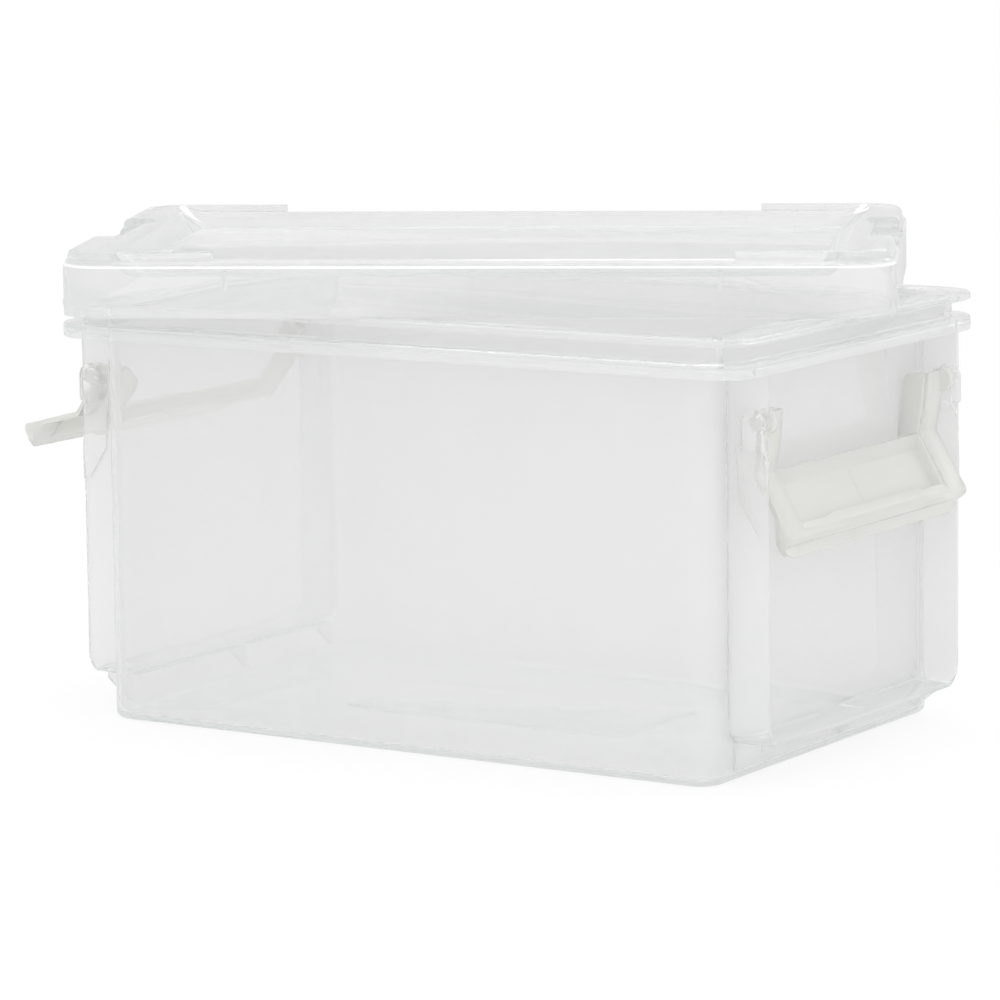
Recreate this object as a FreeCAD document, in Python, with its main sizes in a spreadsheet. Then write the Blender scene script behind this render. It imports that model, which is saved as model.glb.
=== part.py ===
import FreeCAD, Part
import math
import os
import Sketcher

# Photo keeper case: a clear rectangular tub with a rolled rim, a loose lid lying askew on it,
# and two swinging end latches. Units are millimetres. The origin is at the centre of the
# tub's flat bottom, X runs along the length, Y across the width and Z is up.

doc = FreeCAD.newDocument("photo_keeper_case")
sheet = doc.addObject("Spreadsheet::Sheet", "sizes")
sheet.Label = "sizes"

SIZES = [
    # every cut runs past its faces by this much
    ("overrun", "6"),
    # tub shell
    ("tub_height", "165"),
    ("tub_half_length", "136.75"),
    ("tub_half_width", "86.25"),
    ("wall_thick", "2"),
    ("floor_thick", "2.2"),
    ("tub_corner_radius", "10"),
    ("tub_inner_radius", "=tub_corner_radius - wall_thick"),
    ("base_edge_radius", "3"),
    ("floor_edge_radius", "2.5"),
    # centre panel of the floor
    ("panel_half_length", "64"),
    ("panel_half_width", "29"),
    ("panel_step", "0.8"),
    ("panel_radius", "6"),
    # rolled rim
    ("rim_half_length", "154.2"),
    ("rim_half_width", "97"),
    ("rim_radius", "18"),
    ("rim_plate_thick", "2.8"),
    ("rim_edge_radius", "0.8"),
    ("collar_half_length", "148"),
    ("collar_half_width", "88.8"),
    ("collar_radius", "12"),
    ("collar_wall", "2"),
    ("lower_flange_top", "155.9"),
    ("lower_flange_bottom", "150.4"),
    ("lower_flange_plate", "2"),
    ("lower_lip_thick", "1.8"),
    ("lower_lip_radius", "=rim_radius - lower_lip_thick"),
    # end fins and shelf
    ("fin_half_span", "74.5"),
    ("fin_thick", "2"),
    ("fin_edge", "153.8"),
    ("fin_corner_radius", "9"),
    ("fin_inner_radius", "=fin_corner_radius - fin_thick"),
    ("shelf_bottom", "13.7"),
    ("shelf_thick", "2"),
    ("wall_bite", "0.7"),
    # gusset ribs below the shelf
    ("gusset_thick", "2"),
    ("gusset_reach", "11"),
    ("gusset_foot", "4.5"),
    ("gusset_nose", "1.6"),
    ("gusset_side", "69.5"),
    ("gusset_side_root", "2.1"),
    ("gusset_middle_root", "1"),
    ("gusset_middle", "9"),
    # latch pivots in the fins
    ("pivot_half_span", "149.8"),
    ("pivot_height", "133.1"),
    ("pin_radius", "2.75"),
    ("pin_clearance", "0.06"),
    ("bore_radius", "=pin_radius + pin_clearance"),
    ("dome_proud", "2.6"),
    ("dome_half_width", "4"),
    ("dome_above", "4.9"),
    ("dome_below", "9.9"),
    ("dome_taper", "0.9"),
    ("dome_roof", "1.1"),
    ("pin_end_gap", "0.5"),
    # pin lead-in below each dome
    ("lead_proud", "0.8"),
    ("lead_groove", "0.9"),
    ("lead_top_inner", "141"),
    ("lead_mid_height", "105"),
    ("lead_mid_inner", "142.5"),
    ("lead_low_height", "92"),
    ("lead_low_inner", "150.5"),
    ("lead_margin", "1.2"),
    ("lead_top_outer", "152.2"),
    # lid
    ("lid_half_length", "156.2"),
    ("lid_half_width", "99"),
    ("lid_height", "21.6"),
    ("lid_radius", "18"),
    ("lid_edge_radius", "3.5"),
    ("lid_skirt_thick", "1.6"),
    ("lid_plate_thick", "1.8"),
    ("lid_inner_radius", "=lid_radius - lid_skirt_thick"),
    ("lid_inner_height", "=lid_height - lid_plate_thick"),
    # recessed field of the lid
    ("field_half_length", "138.4"),
    ("field_half_width", "90.6"),
    ("field_end_run", "8.2"),
    ("field_side_run", "4"),
    ("field_depth", "5.2"),
    ("field_radius", "9"),
    ("pan_wall", "1.8"),
    # corner pads, end ridges and end seats of the lid
    ("pad_height", "3"),
    ("pad_inset", "1.8"),
    ("pad_leg", "57"),
    ("pad_radius", "=lid_radius - pad_inset"),
    ("pad_edge_radius", "0.8"),
    ("pad_root", "1.4"),
    ("ridge_height", "2"),
    ("seat_half_width", "35.5"),
    ("seat_line", "145"),
    ("seat_drop", "3"),
    ("seat_plate", "1.6"),
    # moulded ticks on the skirt
    ("tick_pitch", "92"),
    ("tick_width", "1.8"),
    ("tick_height", "8"),
    ("tick_proud", "0.5"),
    ("tick_root", "1"),
    # how the lid lies on the tub
    ("lid_shift_back", "10.2"),
    ("lid_shift_left", "13.5"),
    ("lid_gap", "0.1"),
    # latch, drawn hanging from its pivot
    ("brim_half_span", "69"),
    ("opening_half_span", "56.3"),
    ("sheet_thick", "2"),
    ("arm_top", "3.4"),
    ("arm_face", "0.6"),
    ("arm_bend_drop", "7"),
    ("arm_bend_face", "-0.3"),
    ("knee_drop", "19.6"),
    ("knee_face", "-2.8"),
    ("brim_end_drop", "40.1"),
    ("brim_end_face", "9.4"),
    ("bar_tip_drop", "41.9"),
    ("bar_tip_face", "10.6"),
    ("bar_under_drop", "44.4"),
    ("bar_under_face", "9.6"),
    ("bar_heel_drop", "46.2"),
    ("bar_heel_face", "6.9"),
    ("bar_foot_drop", "50.3"),
    ("bar_back_face", "4.2"),
    ("bar_top_drop", "31.4"),
    ("bar_corner_radius", "10"),
    ("thumb_half_span", "35"),
    ("thumb_proud", "2"),
    ("thumb_top_drop", "37.4"),
    ("tray_lip_drop", "26"),
    ("tray_lip_face", "-4"),
    ("tray_floor_drop", "42"),
    ("tray_floor_face", "5.4"),
    ("web_top", "2.4"),
    ("web_top_face", "-9.8"),
    ("web_knee_face", "-12.2"),
    ("web_foot_drop", "46"),
    ("web_foot_face", "4.6"),
    ("ear_radius", "4.6"),
    ("ear_thick", "2.4"),
    ("hub_radius", "3.9"),
    ("hub_end", "71.9"),
]

ANGLES = [
    ("lid_turn", "26.64"),
    ("left_latch_swing", "45"),
]

row = 1
for alias, text in SIZES + ANGLES:
    sheet.set("A%d" % row, alias)
    sheet.set("B%d" % row, text)
    sheet.setAlias("B%d" % row, alias)
    row += 1
doc.recompute()


def value(text):
    """Number behind an expression written with names of the sheet."""
    return float(sheet.evalExpression(named(text)))


def named(text):
    """Expression text with each size name given its sheet."""
    words = []
    word = ""
    for letter in text + " ":
        if letter.isalpha() or letter == "_" or (word and letter.isdigit()):
            word += letter
            continue
        if word:
            words.append(word if word in ("atan", "sin", "cos") else "sizes." + word)
            word = ""
        words.append(letter)
    return "".join(words).strip()


def new_body(name):
    body = doc.addObject("PartDesign::Body", name)
    body.Label = name
    return body


def plane_of(body, role):
    for feature in body.Origin.OriginFeatures:
        if feature.Role == role:
            return feature
    raise ValueError(role)


def put(feature, body, role, x="0", y="0", z="0"):
    """Attach a feature to an origin plane and shift it by named sizes."""
    feature.AttachmentSupport = [(plane_of(body, role), "")]
    feature.MapMode = "FlatFace"
    feature.AttachmentOffset = FreeCAD.Placement(
        FreeCAD.Vector(value(x), value(y), value(z)), FreeCAD.Rotation())
    for axis, text in (("x", x), ("y", y), ("z", z)):
        if text != "0":
            feature.setExpression(".AttachmentOffset.Base." + axis, named(text))


def bind(feature, **pairs):
    for prop, text in pairs.items():
        setattr(feature, prop, value(text))
        feature.setExpression(prop, named(text))


def box(body, name, kind, x0, x1, y0, y1, z0, z1):
    """Block between named planes; kind is Additive or Subtractive."""
    feature = body.newObject("PartDesign::%sBox" % kind, name)
    feature.Refine = False
    put(feature, body, "XY_Plane", x0, y0, z0)
    bind(feature,
         Length="(%s) - (%s)" % (x1, x0),
         Width="(%s) - (%s)" % (y1, y0),
         Height="(%s) - (%s)" % (z1, z0))
    doc.recompute()
    return feature


def wedge(body, name, kind, low, high, z0, z1):
    """Block with sloping sides: half length and half width at z0 and at z1."""
    feature = body.newObject("PartDesign::%sWedge" % kind, name)
    feature.Refine = False
    put(feature, body, "XZ_Plane")
    bind(feature,
         Ymin=z0, Ymax=z1,
         Xmin="-(%s)" % low[0], Xmax=low[0], Zmin="-(%s)" % low[1], Zmax=low[1],
         X2min="-(%s)" % high[0], X2max=high[0], Z2min="-(%s)" % high[1], Z2max=high[1])
    doc.recompute()
    return feature


def outline(body, name, role, points, shift="0"):
    """Closed polygon whose corners are placed by named sizes."""
    sketch = body.newObject("Sketcher::SketchObject", name)
    put(sketch, body, role, z=shift)
    numbers = [(value(a), value(b)) for a, b in points]
    count = len(points)
    for index in range(count):
        start = FreeCAD.Vector(numbers[index][0], numbers[index][1], 0)
        end = FreeCAD.Vector(numbers[(index + 1) % count][0], numbers[(index + 1) % count][1], 0)
        sketch.addGeometry(Part.LineSegment(start, end), False)
    for index in range(count):
        sketch.addConstraint(Sketcher.Constraint("Coincident", index, 2, (index + 1) % count, 1))
    for index in range(count):
        for word, number, text in (("DistanceX", numbers[index][0], points[index][0]),
                                   ("DistanceY", numbers[index][1], points[index][1])):
            if number == 0:
                axis = -2 if word == "DistanceX" else -1
                sketch.addConstraint(Sketcher.Constraint("PointOnObject", index, 1, axis))
                continue
            made = sketch.addConstraint(Sketcher.Constraint(word, -1, 1, index, 1, number))
            sketch.setExpression("Constraints[%d]" % made, named(text))
    doc.recompute()
    return sketch


def pad(body, name, sketch, length):
    feature = body.newObject("PartDesign::Pad", name)
    feature.Refine = False
    feature.Profile = sketch
    bind(feature, Length=length)
    doc.recompute()
    sketch.Visibility = False
    return feature


def cut(body, name, sketch, length):
    """Pocket that runs along the sketch normal."""
    feature = body.newObject("PartDesign::Pocket", name)
    feature.Refine = False
    feature.Profile = sketch
    feature.Reversed = True
    bind(feature, Length=length)
    doc.recompute()
    sketch.Visibility = False
    return feature


def edges_where(feature, test):
    names = []
    for number, edge in enumerate(feature.Shape.Edges, 1):
        ends = [vertex.Point for vertex in edge.Vertexes]
        if len(ends) == 2 and test(ends[0], ends[1], edge):
            names.append("Edge%d" % number)
    return names


def fillet(body, name, base, radius, test):
    names = edges_where(base, test)
    if not names:
        raise ValueError("no edges for " + name)
    feature = body.newObject("PartDesign::Fillet", name)
    feature.Base = (base, names)
    bind(feature, Radius=radius)
    doc.recompute()
    return feature


def join(body, name, tool, kind="Fuse"):
    """Add the shape of a tool body to a body."""
    feature = body.newObject("PartDesign::Boolean", name)
    feature.Type = kind
    feature.Group = [tool]
    doc.recompute()
    tool.Visibility = False
    return feature


def carve(body, name, tool):
    """Take the shape of a tool body out of a body."""
    return join(body, name, tool, "Cut")


hair = value("overrun / 50000")


def near(a, b):
    return abs(a - b) < hair


def upright(half_x, half_y, z0, z1):
    """Test for the corner edges that stand at the given half sizes between two heights."""
    def test(a, b, edge):
        low, high = sorted((a.z, b.z))
        return (near(low, z0) and near(high, z1) and near(a.x, b.x) and near(a.y, b.y)
                and near(abs(a.x), half_x) and near(abs(a.y), half_y))
    return test


def at_height(z, half_x, half_y, radius):
    """Test for edges at one height on a ring of the given half sizes and corner radius."""
    def test(a, b, edge):
        if not (near(a.z, z) and near(b.z, z)):
            return False
        middle = edge.valueAt((edge.FirstParameter + edge.LastParameter) / 2)
        return max(abs(middle.x) - half_x, abs(middle.y) - half_y) > -radius / 3
    return test


def rounded_block(body, name, half_x, half_y, z0, z1, radius, edge_radius):
    """Upright block with rounded corners and a rounded bottom edge."""
    block = box(body, name, "Additive", "-(%s)" % half_x, half_x, "-(%s)" % half_y, half_y, z0, z1)
    block = fillet(body, name + "_corners", block, radius,
                   upright(value(half_x), value(half_y), value(z0), value(z1)))
    return fillet(body, name + "_edge", block, edge_radius,
                  at_height(value(z0), value(half_x), value(half_y), value(radius)))


def build_tub():
    body = new_body("tub")
    height = value("tub_height")
    rounded_block(body, "shell", "tub_half_length", "tub_half_width", "0", "tub_height",
                  "tub_corner_radius", "base_edge_radius")
    plate = box(body, "rim_plate", "Additive", "-rim_half_length", "rim_half_length",
                "-rim_half_width", "rim_half_width", "tub_height - rim_plate_thick", "tub_height")
    plate = fillet(body, "rim_plate_corners", plate, "rim_radius",
                   upright(value("rim_half_length"), value("rim_half_width"),
                           value("tub_height - rim_plate_thick"), height))
    collar = box(body, "rim_collar", "Additive", "-collar_half_length", "collar_half_length",
                 "-collar_half_width", "collar_half_width", "lower_flange_bottom",
                 "tub_height - rim_plate_thick")
    collar = fillet(body, "rim_collar_corners", collar, "collar_radius",
                    upright(value("collar_half_length"), value("collar_half_width"),
                            value("lower_flange_bottom"), value("tub_height - rim_plate_thick")))
    flange = box(body, "lower_flange", "Additive", "-rim_half_length", "rim_half_length",
                 "-rim_half_width", "rim_half_width", "lower_flange_bottom", "lower_flange_top")
    flange = fillet(body, "lower_flange_corners", flange, "rim_radius",
                    upright(value("rim_half_length"), value("rim_half_width"),
                            value("lower_flange_bottom"), value("lower_flange_top")))
    fillet(body, "rim_edges", flange, "rim_edge_radius",
           lambda a, b, edge: (near(a.z, b.z) and any(near(a.z, z) for z in (
               height, value("lower_flange_bottom")))
               and at_height(a.z, value("rim_half_length"), value("rim_half_width"),
                             value("rim_radius"))(a, b, edge)))

    # the down-turned lip of the lower flange is hollow between itself and the collar
    room = "lower_flange_bottom - overrun"
    ceiling = "lower_flange_top - lower_flange_plate"
    lip_x = "(rim_half_length - lower_lip_thick)"
    lip_y = "(rim_half_width - lower_lip_thick)"
    ring = body.newObject("Sketcher::SketchObject", "lip_room_outline")
    put(ring, body, "XY_Plane", z="lower_flange_bottom")
    rounded(ring, lip_x, lip_y, "lower_lip_radius")
    rounded(ring, "collar_half_length", "collar_half_width", "collar_radius")
    doc.recompute()
    cut(body, "lip_room", ring, "(%s) - lower_flange_bottom" % ceiling)

    # the end collars are hollow from below, as far as the end walls
    for side, sign in (("right", ""), ("left", "-")):
        near_x = "tub_half_length"
        far_x = "collar_half_length - collar_wall"
        x0, x1 = (near_x, far_x) if sign == "" else ("-(%s)" % far_x, "-(%s)" % near_x)
        box(body, "collar_room_" + side, "Subtractive", x0, x1,
            "-(collar_half_width - collar_radius)", "collar_half_width - collar_radius",
            room, "tub_height - rim_plate_thick")

    # inside of the tub
    tool = new_body("inside_tool")
    rounded_block(tool, "inside", "tub_half_length - wall_thick", "tub_half_width - wall_thick",
                  "floor_thick", "tub_height + overrun", "tub_inner_radius",
                  "floor_edge_radius")
    carve(body, "inside", tool)

    # stepped centre panel of the floor
    raised = box(body, "panel_raised", "Additive", "-panel_half_length", "panel_half_length",
                 "-panel_half_width", "panel_half_width", "floor_thick / 2",
                 "floor_thick + panel_step")
    fillet(body, "panel_raised_corners", raised, "panel_radius",
           upright(value("panel_half_length"), value("panel_half_width"), value("floor_thick"),
                   value("floor_thick + panel_step")))

    for side, sign in (("right", 1), ("left", -1)):
        # fins and shelf are one bent band standing out of the end wall
        start = "tub_half_length - wall_bite"
        reach = "fin_edge - (%s)" % start
        shift = start if sign > 0 else "-fin_edge"
        band = outline(body, "band_outline_" + side, "YZ_Plane", [
            ("-fin_half_span", "lower_flange_top - lower_flange_plate / 2"),
            ("-fin_half_span", "shelf_bottom"),
            ("fin_half_span", "shelf_bottom"),
            ("fin_half_span", "lower_flange_top - lower_flange_plate / 2"),
            ("fin_half_span - fin_thick", "lower_flange_top - lower_flange_plate / 2"),
            ("fin_half_span - fin_thick", "shelf_bottom + shelf_thick"),
            ("-(fin_half_span - fin_thick)", "shelf_bottom + shelf_thick"),
            ("-(fin_half_span - fin_thick)", "lower_flange_top - lower_flange_plate / 2"),
        ], shift)
        band_pad = pad(body, "band_" + side, band, reach)

        def bottom_corner(half, z):
            def test(a, b, edge):
                return (near(a.z, z) and near(b.z, z) and near(abs(a.y), half) and near(a.y, b.y)
                        and a.x * sign > 0 and abs(a.x - b.x) > value("wall_thick"))
            return test
        band_pad = fillet(body, "band_outer_corners_" + side, band_pad, "fin_corner_radius",
                          bottom_corner(value("fin_half_span"), value("shelf_bottom")))
        fillet(body, "band_inner_corners_" + side, band_pad, "fin_inner_radius",
               bottom_corner(value("fin_half_span - fin_thick"),
                             value("shelf_bottom + shelf_thick")))

        # gusset ribs below the shelf
        foot = "(tub_half_length - wall_thick / 2)"
        tip = "(tub_half_length + gusset_reach)"
        for tag, middle, root in (("front", "-gusset_side", "gusset_side_root"),
                                  ("middle", "gusset_middle", "gusset_middle_root"),
                                  ("back", "gusset_side", "gusset_side_root")):
            profile = [(foot, "gusset_foot"),
                       ("(tub_half_length + gusset_nose)", "gusset_foot"),
                       (tip, "shelf_bottom - gusset_nose"),
                       (tip, "shelf_bottom + " + root),
                       (foot, "shelf_bottom + " + root)]
            if sign < 0:
                profile = [("-" + a, b) for a, b in profile]
            rib = outline(body, "gusset_outline_%s_%s" % (side, tag), "XZ_Plane", profile,
                          "-(%s + gusset_thick / 2)" % middle)
            pad(body, "gusset_%s_%s" % (side, tag), rib, "gusset_thick")

        for tag, face in (("front", -1), ("back", 1)):
            label = side + "_" + tag
            flip = "" if sign > 0 else "-"
            ends = (flip + "(pivot_half_span - dome_half_width - dome_taper * 2)",
                    flip + "(pivot_half_span + dome_half_width)")
            ends = ends if sign > 0 else ends[::-1]
            inner_y = "(fin_half_span - fin_thick / 2)"
            outer_y = "(fin_half_span + dome_proud)"
            dome = body.newObject("PartDesign::AdditiveWedge", "dome_" + label)
            dome.Refine = False
            put(dome, body, "XY_Plane")
            wide = {"min": ends[0], "max": ends[1]}
            slim = {"min": ends[0] + " + dome_taper", "max": ends[1] + " - dome_taper"}
            first, second = (wide, slim) if face > 0 else (slim, wide)
            inset = ("0", "dome_taper") if face > 0 else ("dome_taper", "0")
            bind(dome,
                 Ymax=outer_y if face > 0 else "-" + inner_y,
                 Ymin=inner_y if face > 0 else "-" + outer_y,
                 Xmax=first["max"], Xmin=first["min"],
                 X2max=second["max"], X2min=second["min"],
                 Zmax="pivot_height + dome_above - " + inset[0],
                 Zmin="pivot_height - dome_below + " + inset[0],
                 Z2max="pivot_height + dome_above - " + inset[1],
                 Z2min="pivot_height - dome_below + " + inset[1])
            doc.recompute()
            # lead-in: a raised strip outside, a groove inside
            strip_points = [
                (flip + "lead_top_inner", "pivot_height - dome_below + lead_margin"),
                (flip + "lead_mid_inner", "lead_mid_height"),
                (flip + "lead_low_inner", "lead_low_height"),
                (flip + "fin_edge", "lead_low_height"),
                (flip + "fin_edge", "lead_mid_height"),
                (flip + "lead_top_outer", "pivot_height - dome_below + lead_margin"),
            ]
            depth = "lead_proud + fin_thick / 2"
            start_y = ("-(fin_half_span + lead_proud)" if face > 0
                       else "fin_half_span - fin_thick / 2")
            strip = outline(body, "lead_outline_" + label, "XZ_Plane", strip_points, start_y)
            pad(body, "lead_" + label, strip, depth)
            groove_points = [
                (flip + "(lead_top_inner + lead_margin)", "pivot_height"),
                (flip + "(lead_mid_inner + lead_margin)", "lead_mid_height"),
                (flip + "(lead_low_inner + lead_margin)", "lead_low_height + lead_margin"),
                (flip + "(fin_edge + overrun)", "lead_low_height + lead_margin"),
                (flip + "(fin_edge + overrun)", "lead_mid_height"),
                (flip + "(lead_top_outer - lead_margin)", "pivot_height - dome_below"),
                (flip + "(lead_top_outer - lead_margin)", "pivot_height"),
            ]
            inner_face = "(fin_half_span - fin_thick)"
            groove_y = ("-(%s + lead_groove)" % inner_face if face > 0
                        else "%s - overrun" % inner_face)
            groove = outline(body, "groove_outline_" + label, "XZ_Plane", groove_points, groove_y)
            cut(body, "groove_" + label, groove, "lead_groove + overrun")
            # blind bore for the latch pin
            bore = body.newObject("PartDesign::SubtractiveCylinder", "bore_" + label)
            bore_start = ("-(%s - dome_roof)" % outer_y if face > 0
                          else "%s - overrun" % inner_face)
            put(bore, body, "XZ_Plane", flip + "pivot_half_span", "pivot_height", bore_start)
            bind(bore, Radius="bore_radius",
                 Height="%s - dome_roof - %s + overrun" % (outer_y, inner_face))
            doc.recompute()
    return body


def rounded(sketch, half_x, half_y, radius):
    """Rounded rectangle centred on the sketch origin, placed by named sizes."""
    hx, hy, r = value(half_x), value(half_y), value(radius)
    vec = FreeCAD.Vector
    first = sketch.GeometryCount
    corners = [(1, 1), (-1, 1), (-1, -1), (1, -1)]
    for number, (sx, sy) in enumerate(corners):
        middle = vec(sx * (hx - r), sy * (hy - r), 0)
        start = number * math.pi / 2
        sketch.addGeometry(Part.ArcOfCircle(Part.Circle(middle, vec(0, 0, 1), r),
                                            start, start + math.pi / 2), False)
    sides = [(vec(hx - r, hy, 0), vec(-(hx - r), hy, 0)),
             (vec(-hx, hy - r, 0), vec(-hx, -(hy - r), 0)),
             (vec(-(hx - r), -hy, 0), vec(hx - r, -hy, 0)),
             (vec(hx, -(hy - r), 0), vec(hx, hy - r, 0))]
    for a, b in sides:
        sketch.addGeometry(Part.LineSegment(a, b), False)
    for number in range(4):
        arc, line, after = first + number, first + 4 + number, first + (number + 1) % 4
        sketch.addConstraint(Sketcher.Constraint("Tangent", arc, 2, line, 1))
        sketch.addConstraint(Sketcher.Constraint("Tangent", line, 2, after, 1))
    for number, (sx, sy) in enumerate(corners):
        spot = [("DistanceX", sx * (hx - r), "%s(%s - %s)" % ("-" if sx < 0 else "", half_x, radius)),
                ("DistanceY", sy * (hy - r), "%s(%s - %s)" % ("-" if sy < 0 else "", half_y, radius))]
        for word, number_value, text in spot:
            made = sketch.addConstraint(
                Sketcher.Constraint(word, -1, 1, first + number, 3, number_value))
            sketch.setExpression("Constraints[%d]" % made, named(text))
    made = sketch.addConstraint(Sketcher.Constraint("Radius", first, r))
    sketch.setExpression("Constraints[%d]" % made, named(radius))


def build_lid():
    body = new_body("lid")
    shell = box(body, "lid_block", "Additive", "-lid_half_length", "lid_half_length",
                "-lid_half_width", "lid_half_width", "0", "lid_height")
    top = value("lid_height")
    shell = fillet(body, "lid_corners", shell, "lid_radius",
                   upright(value("lid_half_length"), value("lid_half_width"), 0, top))
    fillet(body, "lid_top_edge", shell, "lid_edge_radius",
           at_height(top, value("lid_half_length"), value("lid_half_width"), value("lid_radius")))
    inside_x = "(lid_half_length - lid_skirt_thick)"
    inside_y = "(lid_half_width - lid_skirt_thick)"
    tool = new_body("lid_inside_tool")
    inner = box(tool, "lid_inside_block", "Additive", "-" + inside_x, inside_x,
                "-" + inside_y, inside_y, "-overrun", "lid_inner_height")
    fillet(tool, "lid_inside_corners", inner, "lid_inner_radius",
           upright(value(inside_x), value(inside_y), value("-overrun"),
                   value("lid_inner_height")))
    carve(body, "lid_inside", tool)

    # seat pockets at both ends and the pan below the recessed field
    for side, flip in (("right", ""), ("left", "-")):
        x0 = "(seat_line - seat_plate)"
        x1 = "(lid_half_length - lid_skirt_thick / 2)"
        a, b = (x0, x1) if flip == "" else ("-" + x1, "-" + x0)
        box(body, "seat_block_" + side, "Additive", a, b, "-(seat_half_width + seat_plate)",
            "seat_half_width + seat_plate", "lid_height - seat_drop - seat_plate",
            "lid_height - lid_plate_thick / 2")
    wedge(body, "pan_block", "Additive",
          ("field_half_length - field_end_run + pan_wall",
           "field_half_width - field_side_run + pan_wall"),
          ("field_half_length + pan_wall", "field_half_width + pan_wall"),
          "lid_height - field_depth - pan_wall", "lid_height - lid_plate_thick / 2")

    # end ridges and corner pads
    for side, flip in (("right", ""), ("left", "-")):
        x0, x1 = "field_half_length - field_end_run / 4", "seat_line"
        a, b = (x0, x1) if flip == "" else ("-(%s)" % x1, "-(%s)" % x0)
        box(body, "ridge_" + side, "Additive", a, b, "-(lid_half_width - pad_leg)",
            "lid_half_width - pad_leg", "lid_height - lid_plate_thick / 2",
            "lid_height + ridge_height")
    pads = new_body("pads_tool")
    pad_x = "(lid_half_length - pad_inset)"
    pad_y = "(lid_half_width - pad_inset)"
    low = "lid_height - pad_root"
    high = "lid_height + pad_height"
    plate = box(pads, "pads_plate", "Additive", "-" + pad_x, pad_x, "-" + pad_y, pad_y, low, high)
    plate = fillet(pads, "pads_corners", plate, "pad_radius",
                   upright(value(pad_x), value(pad_y), value(low), value(high)))
    fillet(pads, "pads_edge", plate, "pad_edge_radius",
           at_height(value(high), value(pad_x), value(pad_y), value("pad_radius")))
    for word, half_x, half_y in (
            ("middle", "(field_half_length - field_end_run / 4)",
             "(field_half_width - field_side_run / 4)"),
            ("sides", "(lid_half_length - pad_inset - pad_leg)", "(lid_half_width + overrun)"),
            ("ends", "(lid_half_length + overrun)", "seat_half_width")):
        box(pads, "pads_gap_" + word, "Subtractive", "-" + half_x, half_x, "-" + half_y, half_y,
            low + " - overrun", high + " + overrun")
    join(body, "pads", pads)
    tool = new_body("field_tool")
    rise = "(field_depth + pad_height + overrun)"
    high = ("field_half_length - field_end_run + field_end_run * (%s / field_depth)" % rise,
            "field_half_width - field_side_run + field_side_run * (%s / field_depth)" % rise)
    field = wedge(tool, "field_block", "Additive",
                  ("field_half_length - field_end_run", "field_half_width - field_side_run"),
                  high, "lid_height - field_depth", "lid_height + pad_height + overrun")
    fillet(tool, "field_corners", field, "field_radius",
           lambda a, b, edge: abs(a.z - b.z) > value("field_depth"))
    carve(body, "field", tool)
    for side, flip in (("right", ""), ("left", "-")):
        x0, x1 = "seat_line", "(lid_half_length + overrun)"
        a, b = (x0, x1) if flip == "" else ("-" + x1, "-" + x0)
        box(body, "seat_" + side, "Subtractive", a, b, "-seat_half_width", "seat_half_width",
            "lid_height - seat_drop", "lid_height + pad_height + overrun")

    # three small upright ticks on each long side of the skirt
    for tag, turn in (("front", "-"), ("back", "")):
        y0, y1 = "(lid_half_width - tick_root)", "(lid_half_width + tick_proud)"
        a, b = (y0, y1) if turn == "" else ("-" + y1, "-" + y0)
        for number, middle in enumerate(("-tick_pitch", "0", "tick_pitch"), 1):
            box(body, "tick_%s_%d" % (tag, number), "Additive", "%s - tick_width / 2" % middle,
                "%s + tick_width / 2" % middle, a, b,
                "lid_height - lid_edge_radius - tick_height", "lid_height - lid_edge_radius")
    body.Placement = FreeCAD.Placement(
        FreeCAD.Vector(-value("lid_shift_left"), value("lid_shift_back"),
                       value("tub_height + lid_gap")),
        FreeCAD.Rotation(FreeCAD.Vector(0, 0, 1), value("lid_turn")))
    body.setExpression(".Placement.Base.x", "-sizes.lid_shift_left")
    body.setExpression(".Placement.Base.y", "sizes.lid_shift_back")
    body.setExpression(".Placement.Base.z", "sizes.tub_height + sizes.lid_gap")
    body.setExpression(".Placement.Rotation.Angle", "sizes.lid_turn")
    doc.recompute()
    return body


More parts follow.
